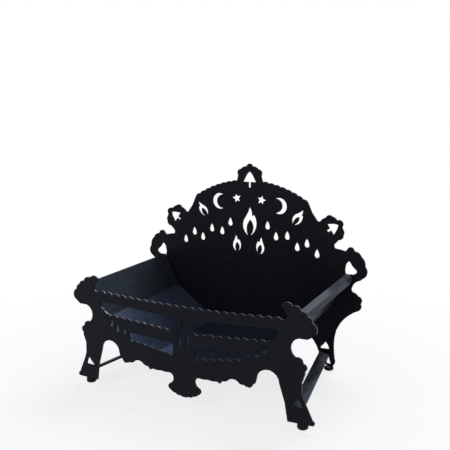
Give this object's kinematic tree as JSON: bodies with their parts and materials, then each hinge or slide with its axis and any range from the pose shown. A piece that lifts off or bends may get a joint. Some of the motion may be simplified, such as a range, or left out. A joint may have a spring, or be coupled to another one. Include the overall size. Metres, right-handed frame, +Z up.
{
  "type": "log holder",
  "caption": "Hearth log cradle of black painted steel: bowed front plate and tall shaped back plate with cut-out trees, flames, moons, stars and drops, joined by an open trough, rails and stretchers",
  "frame": {"origin": "on the ground, in the middle of the footprint seen from above", "axes": "+X right as seen from the front and the longest extent, +Y from the bowed front plate to the back plate and the shortest extent, +Z up"},
  "size_m": [0.6086, 0.341, 0.5],
  "materials": {
    "front_plate": "satin black paint on cut steel plate",
    "back_plate": "satin black paint on cut steel plate",
    "inner_sheet": "semi-gloss black paint on steel sheet",
    "bars": "semi-gloss black paint on bent steel strip",
    "feet": "satin black paint on short steel discs"
  },
  "bodies": {
    "root": {"front_plate": "front_plate", "back_plate": "back_plate", "floor_plate": "inner_sheet", "left_floor_wing": "inner_sheet", "right_floor_wing": "inner_sheet", "left_side_panel": "inner_sheet", "right_side_panel": "inner_sheet", "left_top_rail": "bars", "right_top_rail": "bars", "left_stretcher": "bars", "right_stretcher": "bars", "front_left_foot": "feet", "front_right_foot": "feet", "back_left_foot": "feet", "back_right_foot": "feet"}
  },
  "joints": []
}
